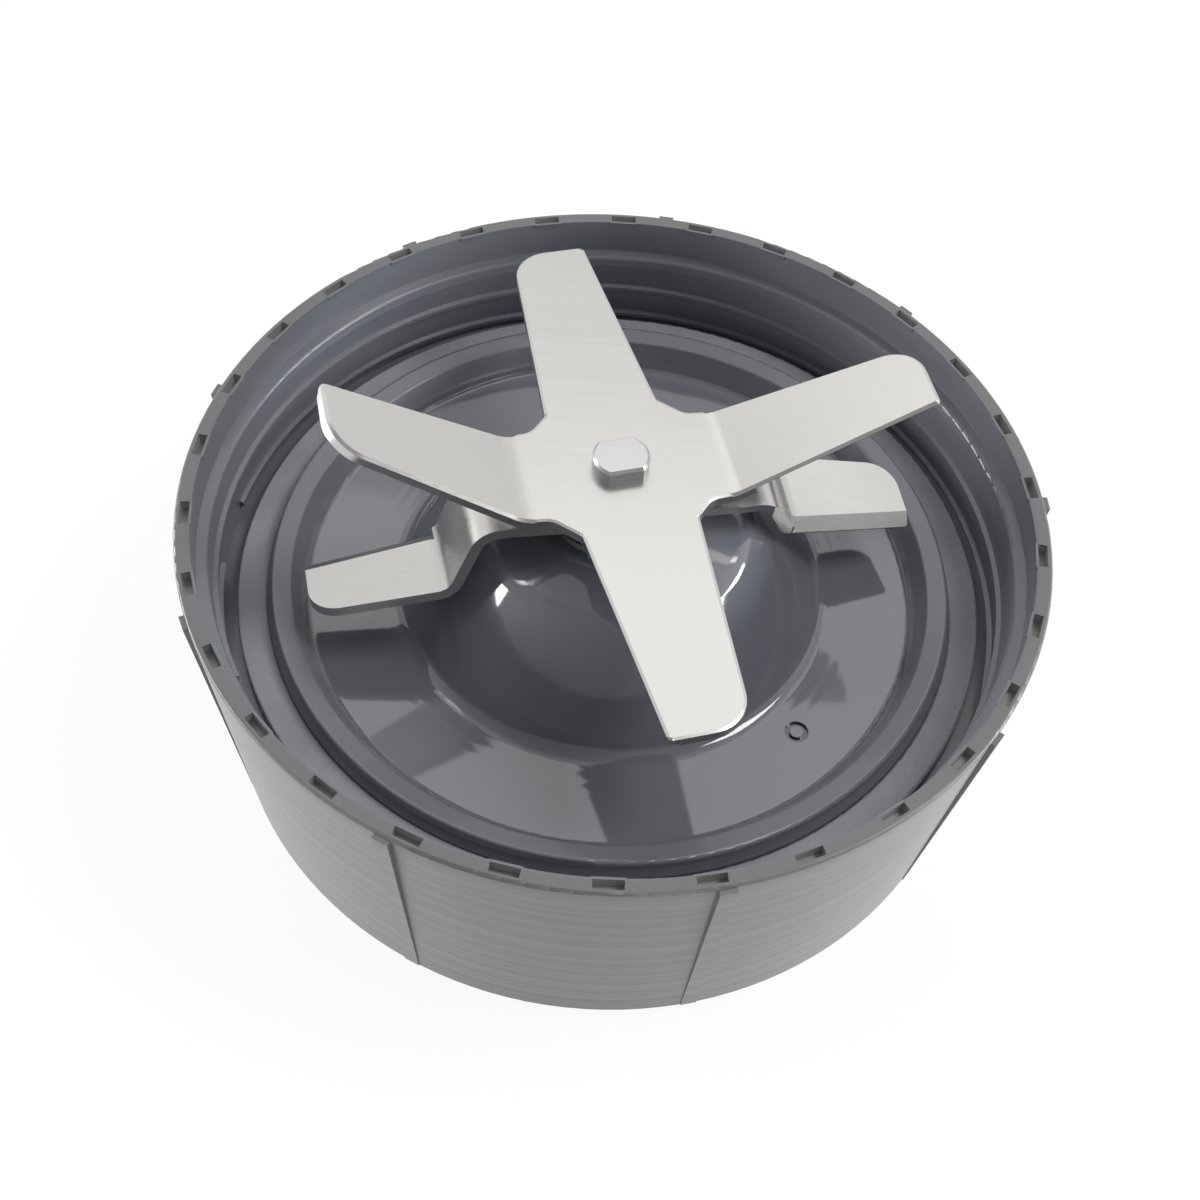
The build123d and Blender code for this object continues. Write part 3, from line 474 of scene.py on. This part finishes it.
def holder_plastic(settings):
    """Grey moulded plastic: satin outside, semi-gloss wall, polished floor and hub."""
    material, tree, shader = fresh_material("holder_plastic_finish")
    coordinates = put(tree, "ShaderNodeTexCoord", (-8, 0))
    where = coordinates.outputs["Object"]
    split = put(tree, "ShaderNodeSeparateXYZ", (-7, 1))
    tree.links.new(where, split.inputs[0])
    height = split.outputs[2]
    plan = put(tree, "ShaderNodeCombineXYZ", (-6, 1))
    tree.links.new(split.outputs[0], plan.inputs[0])
    tree.links.new(split.outputs[1], plan.inputs[1])
    flat = plan.outputs[0]
    radius = vector_maths(tree, (-5, 1), "LENGTH", flat).outputs["Value"]

    # Where each finish lies
    hollow = under_hub(tree, radius, height, flat, coordinates.outputs["Normal"])
    above = maths(tree, (-3, 3), "MULTIPLY", ramp(tree, (-4, 3), height, UPPER_SIDE),
                  maths(tree, (-1, 7), "SUBTRACT", 1.0, hollow))

    def within(row, limit):
        """Mask of the upper side inside a radius."""
        inner = fall(tree, (-4, row), radius, (limit, limit + FINISH_EDGE))
        return maths(tree, (-3, row), "MULTIPLY", above, inner)

    mouth = within(2, settings.mouth_radius)
    rib = within(1, settings.rib_radius)
    polish = within(0, settings.polish_radius)
    outside = maths(tree, (-2, 2), "SUBTRACT", 1.0, mouth)
    pocket = in_pockets(tree, radius, height)
    ring = maths(tree, (0, 3), "MULTIPLY", gate_ring(tree, flat, settings.gate_place), polish)

    # Grain all over, and faint bands round the skirt
    grain = place_group(tree, moulded_grain(), (-4, -2), where, grain=3200.0, mottle=70.0)
    level = put(tree, "ShaderNodeCombineXYZ", (-5, -3))
    tree.links.new(height, level.inputs[2])
    band = put(tree, "ShaderNodeTexNoise", (-4, -3), detail=1.0, scale=430.0)
    tree.links.new(level.outputs[0], band.inputs["Vector"])
    banded = maths(tree, (-3, -3), "MULTIPLY", band.outputs[0], outside)
    tone = maths(tree, (-2, -2), "MULTIPLY_ADD", banded, BAND_TONE,
                 maths(tree, (-3, -2), "MULTIPLY", grain.outputs["Tone"], GRAIN_TONE))

    # Colour, with painted light in the mouth and the rim pockets
    # Painted light: the mouth takes the lighter inside colour, though it is the same plastic as the skirt
    base = blend_colour(tree, (0, 2), mouth, settings.outside_colour, settings.inside_painted_light_colour)
    # Painted light: the rim pockets take a paler colour in place of the light that reaches into them
    base = blend_colour(tree, (1, 3), pocket, base, settings.painted_light_colour)
    base = blend_colour(tree, (1, 2), ring, base, GATE_SHADE)
    shade = blend_colour(tree, (1, 1), ramp(tree, (-1, -2), tone, HOLDER_TONE), TONE_DARK, TONE_LIGHT)
    tree.links.new(blend_colour(tree, (2, 1), 1.0, base, shade, "MULTIPLY"), shader.inputs["Base Color"])

    # Gloss
    rough = maths(tree, (0, 0), "MULTIPLY_ADD", mouth,
                  settings.wall_roughness - settings.skirt_roughness, settings.skirt_roughness)
    rough = maths(tree, (1, 0), "MULTIPLY_ADD", rib,
                  settings.rib_roughness - settings.wall_roughness, rough)
    rough = maths(tree, (2, 0), "MULTIPLY_ADD", polish,
                  settings.floor_roughness - settings.rib_roughness, rough)
    tree.links.new(rough, shader.inputs["Roughness"])
    coat = maths(tree, (2, -1), "MULTIPLY_ADD", polish, FLOOR_COAT,
                 maths(tree, (1, -1), "MULTIPLY", mouth, MOUTH_COAT))
    tree.links.new(coat, shader.inputs["Coat Weight"])
    shader.inputs["Coat Roughness"].default_value = COAT_ROUGHNESS
    shader.inputs["Coat IOR"].default_value = COAT_IOR
    shader.inputs["IOR"].default_value = PLASTIC_IOR

    # Relief
    sway = put(tree, "ShaderNodeTexNoise", (-4, -4), detail=0.0, scale=75.0)
    tree.links.new(where, sway.inputs["Vector"])
    swayed = maths(tree, (0, -4), "MULTIPLY", sway.outputs[0], polish)
    rippled = maths(tree, (0, -5), "MULTIPLY", floor_ripple(tree, radius), polish)
    pores = maths(tree, (0, -2), "MULTIPLY", grain.outputs["Height"],
                  maths(tree, (-1, -3), "SUBTRACT", 1.0, rib))
    relief = maths(tree, (0, -3), "MULTIPLY_ADD", pores, PORE_SHARE,
                   maths(tree, (-1, -4), "MULTIPLY", banded, BAND_SHARE))
    relief = maths(tree, (1, -3), "MULTIPLY_ADD", swayed, SWAY_SHARE, relief)
    relief = maths(tree, (2, -4), "MULTIPLY_ADD", rippled, RIPPLE_SHARE, relief)
    normal = bumped(tree, (3, -3), relief, strength=1.0, depth=RELIEF_DEPTH)
    tree.links.new(normal, shader.inputs["Normal"])
    return material


def toned_material(name, colour, roughness, texture, contrast, spread, strength, depth, metallic=0.0):
    """Makes a material whose colour, roughness and relief follow a texture group.

    texture is a function that adds the group to the tree and returns its node, contrast the darkest
    and the lightest share of the colour, and spread the change of roughness either way. strength
    and depth are those of the relief."""
    material, tree, shader = fresh_material(name)
    where = put(tree, "ShaderNodeTexCoord", (-5, 0)).outputs["Object"]
    group = texture(tree, where)
    tone = group.outputs["Tone"]
    base = Vector(colour)
    dark, light = contrast
    shade = blend_colour(tree, (0, 1), ramp(tree, (-1, 1), tone, PIECE_TONE), base * dark, base * light)
    tree.links.new(shade, shader.inputs["Base Color"])
    rough = ramp(tree, (0, 0), tone, PIECE_TONE, roughness - spread, roughness + spread)
    tree.links.new(rough, shader.inputs["Roughness"])
    shader.inputs["Metallic"].default_value = metallic
    normal = bumped(tree, (2, -1), group.outputs["Height"], strength, depth)
    tree.links.new(normal, shader.inputs["Normal"])
    return material


def soft_rubber(name, colour, roughness, grain):
    """Matte rubber or silicone with fine pores."""
    def pores(tree, where):
        return place_group(tree, moulded_grain(), (-2, 0), where, grain=grain, mottle=120.0)

    return toned_material(name, colour, roughness, pores,
                          contrast=(0.88, 1.12), spread=0.05, strength=0.3, depth=0.03 * MM)


def plain_moulding(name, colour, roughness):
    """Moulded nylon with a faint mottle."""
    def mottle(tree, where):
        return place_group(tree, moulded_grain(), (-2, 0), where, grain=2400.0, mottle=200.0)

    return toned_material(name, colour, roughness, mottle,
                          contrast=(0.9, 1.1), spread=0.06, strength=0.15, depth=0.02 * MM)


def worked_steel(name, colour, roughness, stretch, lines, turn=0.0):
    """Steel with fine drawn lines: turn is the direction of the lines in plan, stretch their length."""
    def drawn(tree, where):
        aim = put(tree, "ShaderNodeMapping", (-4, 0))
        aim.inputs["Rotation"].default_value = (0.0, 0.0, -turn)
        aim.inputs["Scale"].default_value = stretch
        tree.links.new(where, aim.inputs["Vector"])
        return place_group(tree, drawn_lines(), (-2, 0), aim.outputs[0], lines=lines)

    return toned_material(name, colour, roughness, drawn, contrast=(0.975, 1.02), spread=0.02,
                          strength=0.05, depth=0.01 * MM, metallic=1.0)


# Operators

class BLADEASM_OT_finish_holder(bpy.types.Operator):
    """Finish the moulded holder and its gasket"""
    bl_idname = "bladeasm.finish_holder"
    bl_label = "Finish Holder"

    def execute(self, context):
        settings = context.scene.bladeasm_holder
        dress("blade_holder", holder_plastic(settings))
        dress("sealing_gasket", soft_rubber("gasket_silicone_finish", settings.gasket_colour,
                                            roughness=0.55, grain=2600.0))
        return {"FINISHED"}


class BLADEASM_OT_finish_blades(bpy.types.Operator):
    """Finish the two blades, their spacer and the slinger"""
    bl_idname = "bladeasm.finish_blades"
    bl_label = "Finish Blades"

    def execute(self, context):
        settings = context.scene.bladeasm_blades
        sheet = worked_steel("blade_sheet_finish", settings.steel_colour, settings.steel_roughness,
                             stretch=ALONG_SHEET, lines=1500.0, turn=SHEET_TURN)
        for name in ("upper_blade", "lower_blade", "blade_spacer", "slinger_washer"):
            dress(name, sheet)
        return {"FINISHED"}


class BLADEASM_OT_grind_prongs(bpy.types.Operator):
    """Grind the leading edge of each upper prong sharp from below"""
    bl_idname = "bladeasm.grind_prongs"
    bl_label = "Grind Prongs"

    def execute(self, context):
        settings = context.scene.bladeasm_blades
        blade = self.copy_blade(context)
        self.roll_edges(blade, settings.edge_roll)
        for turn, rise in PRONGS:
            cutter = self.make_cutter(settings, math.radians(turn), math.radians(rise))
            self.cut(context, blade, cutter)
        bpy.ops.object.select_all(action="DESELECT")
        blade.select_set(True)
        bpy.ops.object.shade_smooth_by_angle(angle=SMOOTH_ANGLE)
        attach(blade, "spindle")
        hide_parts("upper_blade")
        return {"FINISHED"}

    def copy_blade(self, context):
        """Copies the sheet blade and merges its loose triangles."""
        bpy.ops.object.select_all(action="DESELECT")
        blade = bpy.data.objects.new("ground_upper_blade", NODES["upper_blade"].data.copy())
        context.scene.collection.objects.link(blade)
        blade.select_set(True)
        context.view_layer.objects.active = blade
        bpy.ops.mesh.customdata_custom_splitnormals_clear()
        bpy.ops.object.mode_set(mode="EDIT")
        bpy.ops.mesh.select_all(action="SELECT")
        bpy.ops.mesh.remove_doubles(threshold=MERGE_DISTANCE)
        bpy.ops.object.mode_set(mode="OBJECT")
        return blade

    def roll_edges(self, blade, drop):
        """Raises the foot of the chamfer round the level prongs, which leaves a shallow roll."""
        foot = UPPER_Z - EDGE_GRIND
        bpy.ops.object.mode_set(mode="EDIT")
        bpy.ops.mesh.select_all(action="DESELECT")
        bpy.ops.object.mode_set(mode="OBJECT")
        count = 0
        for vertex in blade.data.vertices:
            if abs(vertex.co.z - foot) < CHAMFER_SLACK:
                vertex.select = True
                count += 1
        if count == 0:
            raise RuntimeError("the level prongs have no chamfer to soften")
        bpy.ops.object.mode_set(mode="EDIT")
        bpy.ops.transform.translate(value=(0.0, 0.0, EDGE_GRIND - drop))
        bpy.ops.object.mode_set(mode="OBJECT")

    def make_cutter(self, settings, turn, rise):
        """Makes a block whose upper face is the ground face of one prong."""
        along = Vector((math.cos(turn), math.sin(turn), 0.0))
        level = Vector((-math.sin(turn), math.cos(turn), 0.0))
        upright = Vector((0.0, 0.0, 1.0))
        start = BEND_REACH if rise else PRONG_ROOT
        taper = (ROOT_HALF - TIP_HALF) / (PRONG_TIP - PRONG_ROOT)
        start_half = ROOT_HALF - taper * (start - PRONG_ROOT)
        rising = along * math.cos(rise) + upright * math.sin(rise)
        bend = along * start + upright * UPPER_Z
        root = bend - level * start_half
        tip = bend + rising * (PRONG_TIP - start) - level * TIP_HALF
        edge = (tip - root).normalized()
        top = rising.cross(level)
        inward = top.cross(edge)
        slope = math.atan2(SHEET - settings.grind_land, settings.grind_width)
        falling = inward * math.cos(slope) - top * math.sin(slope)
        face = top * math.cos(slope) + inward * math.sin(slope)
        size = Vector(((tip - root).length, CUTTER_DEPTH, CUTTER_DEPTH))
        middle = Vector((settings.grind_run_out + size.x / 2, size.y / 3, -size.z / 2))
        bpy.ops.mesh.primitive_cube_add(size=1.0)
        cutter = bpy.context.active_object
        turned = Matrix((edge, falling, face)).transposed().to_4x4()
        place = Matrix.Translation(root - top * settings.grind_land)
        block = Matrix.Translation(middle) @ Matrix.Diagonal((*size, 1.0))
        cutter.matrix_world = place @ turned @ block
        return cutter

    def cut(self, context, blade, cutter):
        """Takes a block away from the blade."""
        grind = blade.modifiers.new("grind", "BOOLEAN")
        grind.operation = "DIFFERENCE"
        grind.solver = "EXACT"
        grind.object = cutter
        context.view_layer.objects.active = blade
        before = len(blade.data.polygons)
        bpy.ops.object.modifier_apply(modifier=grind.name)
        bpy.data.objects.remove(cutter, do_unlink=True)
        if len(blade.data.polygons) == before:
            raise RuntimeError("the grind of a prong took nothing away")


class BLADEASM_OT_finish_spindle(bpy.types.Operator):
    """Finish the shaft, its clip and washers, the cog and its screw"""
    bl_idname = "bladeasm.finish_spindle"
    bl_label = "Finish Spindle"

    def execute(self, context):
        settings = context.scene.bladeasm_blades
        turned = worked_steel("turned_steel_finish", settings.turned_colour, settings.turned_roughness,
                              stretch=ROUND_SHAFT, lines=2200.0)
        for name in ("drive_shaft", "cog_insert", "screw_washer", "cog_screw"):
            dress(name, turned)
        dress("retaining_clip", worked_steel("spring_steel_finish", SPRING_STEEL, roughness=0.35,
                                             stretch=ALONG_CLIP, lines=1600.0))
        dress("lower_thrust_washer", plain_moulding("washer_nylon_finish", PALE_NYLON, roughness=0.5))
        dress("drive_cog", plain_moulding("cog_nylon_finish", BLACK_NYLON, roughness=0.45))
        return {"FINISHED"}


class BLADEASM_OT_finish_bearing(bpy.types.Operator):
    """Finish the sleeve, bushes, felt, washer and seal inside the hub, after the spindle"""
    bl_idname = "bladeasm.finish_bearing"
    bl_label = "Finish Bearing"

    def execute(self, context):
        dress("bearing_sleeve", worked_steel("sleeve_steel_finish", SLEEVE_STEEL, roughness=0.32,
                                             stretch=ROUND_SHAFT, lines=1800.0))
        bronze = worked_steel("bush_bronze_finish", BRONZE, roughness=0.48, stretch=EVEN, lines=2600.0)
        dress("lower_bush", bronze)
        dress("upper_bush", bronze)
        dress("oil_felt", soft_rubber("oil_felt_finish", FELT, roughness=0.9, grain=1400.0))
        dress("upper_thrust_washer", bpy.data.materials["washer_nylon_finish"])
        black = soft_rubber("seal_rubber_finish", BLACK_RUBBER, roughness=0.5, grain=2600.0)
        dress("shaft_seal", black)
        dress("sleeve_ring", black)
        return {"FINISHED"}


class BLADEASM_OT_set_stage(bpy.types.Operator):
    """Set the floor, the surround, the lamps and the camera"""
    bl_idname = "bladeasm.set_stage"
    bl_label = "Set Stage"

    def execute(self, context):
        settings = context.scene.bladeasm_stage
        self.make_floor()
        self.make_surround(settings)
        self.make_lamp("back_softbox", settings.key_power, BACK_SIZE, BACK_PLACE, HIGH_AIM)
        self.make_lamp("top_softbox", settings.top_power, TOP_SIZE, TOP_PLACE, HIGH_AIM)
        self.make_lamp("left_softbox", settings.side_power, SIDE_SIZE, LEFT_PLACE, SIDE_AIM)
        self.make_lamp("right_softbox", settings.side_power, SIDE_SIZE, RIGHT_PLACE, SIDE_AIM)
        self.make_camera(settings)
        context.scene.view_settings.view_transform = "Standard"
        return {"FINISHED"}

    def make_floor(self):
        """Lays pale paper that keeps the shadow and looks white to the camera and to reflections."""
        bpy.ops.object.select_all(action="DESELECT")
        bpy.ops.mesh.primitive_plane_add(size=FLOOR_SIZE, location=(0.0, 0.0, FLOOR_Z))
        floor = bpy.context.active_object
        floor.name = "studio_floor"
        material = bpy.data.materials.new("studio_floor_paper")
        material.use_nodes = True
        tree = material.node_tree
        tree.nodes.clear()
        end = put(tree, "ShaderNodeOutputMaterial", (4, 0))
        paper = put(tree, "ShaderNodeBsdfDiffuse", (0, 1))
        paper.inputs["Color"].default_value = PAPER
        glow = put(tree, "ShaderNodeEmission", (0, -1))
        glow.inputs["Color"].default_value = WHITE
        glow.inputs["Strength"].default_value = GLOW_STRENGTH
        seen = put(tree, "ShaderNodeLightPath", (-2, 3))
        direct = maths(tree, (0, 3), "MAXIMUM",
                       seen.outputs["Is Camera Ray"], seen.outputs["Is Glossy Ray"])
        mix = put(tree, "ShaderNodeMixShader", (2, 0))
        tree.links.new(maths(tree, (1, 2), "MULTIPLY", direct, GLOW_SHARE), mix.inputs[0])
        tree.links.new(paper.outputs[0], mix.inputs[1])
        tree.links.new(glow.outputs[0], mix.inputs[2])
        tree.links.new(mix.outputs[0], end.inputs[0])
        floor.data.materials.append(material)

    def make_surround(self, settings):
        """Makes the even light from all round, which is dimmer at the front."""
        world = bpy.data.worlds.new("studio_surround")
        world.use_nodes = True
        tree = world.node_tree
        tree.nodes.clear()
        end = put(tree, "ShaderNodeOutputWorld", (6, 0))
        sky = put(tree, "ShaderNodeBackground", (4, 0))
        sky.inputs["Color"].default_value = WHITE
        tree.links.new(sky.outputs[0], end.inputs[0])
        aim = put(tree, "ShaderNodeTexCoord", (-3, -1)).outputs["Generated"]
        facing = vector_maths(tree, (-2, -1), "DOT_PRODUCT", aim, settings.front_aim)
        shade = ramp(tree, (-1, -1), facing.outputs["Value"], FRONT_SPAN, 1.0, settings.front_level)
        seen = put(tree, "ShaderNodeLightPath", (-2, 2))
        glossy = seen.outputs["Is Glossy Ray"]
        soft = maths(tree, (0, -1), "MULTIPLY_ADD", maths(tree, (-1, 0), "MULTIPLY", shade, shade),
                     SHADED_SHARE * settings.surround, EVEN_SHARE * settings.surround)
        glint = maths(tree, (1, 1), "MULTIPLY", glossy, shade)
        direct = maths(tree, (0, 2), "MAXIMUM",
                       seen.outputs["Is Camera Ray"], seen.outputs["Is Transmission Ray"])
        diffuse = maths(tree, (1, 0), "SUBTRACT", 1.0, glossy)
        level = maths(tree, (2, 0), "MULTIPLY_ADD", diffuse, soft, glint)
        tree.links.new(maths(tree, (3, 0), "MAXIMUM", level, direct), sky.inputs["Strength"])
        bpy.context.scene.world = world

    def make_lamp(self, name, power, size, place, aim):
        """Hangs a softbox at a place and points it at the aim."""
        bpy.ops.object.light_add(type="AREA", location=place)
        lamp = bpy.context.active_object
        lamp.name = name
        lamp.data.shape = "RECTANGLE"
        lamp.data.size, lamp.data.size_y = size
        lamp.data.energy = power
        lamp.rotation_mode = "QUATERNION"
        lamp.rotation_quaternion = (Vector(aim) - Vector(place)).to_track_quat("-Z", "Y")

    def make_camera(self, settings):
        """Stands the camera at the photograph's place, angle and roll."""
        bpy.ops.object.camera_add()
        camera = bpy.context.active_object
        camera.name = "photo_camera"
        rise, roll = settings.camera_elevation, settings.camera_roll
        back = Vector((0.0, -math.cos(rise), math.sin(rise)))
        level = Vector((1.0, 0.0, 0.0))
        up = back.cross(level)
        right = level * math.cos(roll) + up * math.sin(roll)
        over = up * math.cos(roll) - level * math.sin(roll)
        turn = Matrix((right, over, back)).transposed().to_4x4()
        camera.matrix_world = Matrix.Translation(settings.camera_place) @ turn
        camera.data.sensor_width = SENSOR_WIDTH
        camera.data.lens = settings.lens
        camera.data.clip_start = CLIP_START
        bpy.context.scene.camera = camera


class BLADEASM_PT_panel(bpy.types.Panel):
    """Settings and steps of the blade assembly"""
    bl_idname = "BLADEASM_PT_panel"
    bl_label = "Blade Assembly"
    bl_space_type = "VIEW_3D"
    bl_region_type = "UI"
    bl_category = "Blade Assembly"

    def draw(self, context):
        scene = context.scene
        for group in (scene.bladeasm_holder, scene.bladeasm_blades, scene.bladeasm_stage):
            box = self.layout.box()
            for key in group.__annotations__:
                box.prop(group, key)
        for step in STEPS:
            self.layout.operator(step.bl_idname)


GROUPS = (HolderSettings, BladeSettings, StageSettings)
STEPS = (BLADEASM_OT_finish_holder, BLADEASM_OT_finish_blades, BLADEASM_OT_grind_prongs,
         BLADEASM_OT_finish_spindle, BLADEASM_OT_finish_bearing, BLADEASM_OT_set_stage)
CLASSES = (*GROUPS, *STEPS, BLADEASM_PT_panel)


def register():
    for cls in CLASSES:
        bpy.utils.register_class(cls)
    bpy.types.Scene.bladeasm_holder = bpy.props.PointerProperty(type=HolderSettings)
    bpy.types.Scene.bladeasm_blades = bpy.props.PointerProperty(type=BladeSettings)
    bpy.types.Scene.bladeasm_stage = bpy.props.PointerProperty(type=StageSettings)


def unregister():
    del bpy.types.Scene.bladeasm_stage
    del bpy.types.Scene.bladeasm_blades
    del bpy.types.Scene.bladeasm_holder
    for cls in reversed(CLASSES):
        bpy.utils.unregister_class(cls)


def main():
    register()
    bpy.ops.bladeasm.finish_holder()
    bpy.ops.bladeasm.finish_blades()
    bpy.ops.bladeasm.grind_prongs()
    bpy.ops.bladeasm.finish_spindle()
    bpy.ops.bladeasm.finish_bearing()
    bpy.ops.bladeasm.set_stage()


if __name__ == "__main__":
    main()
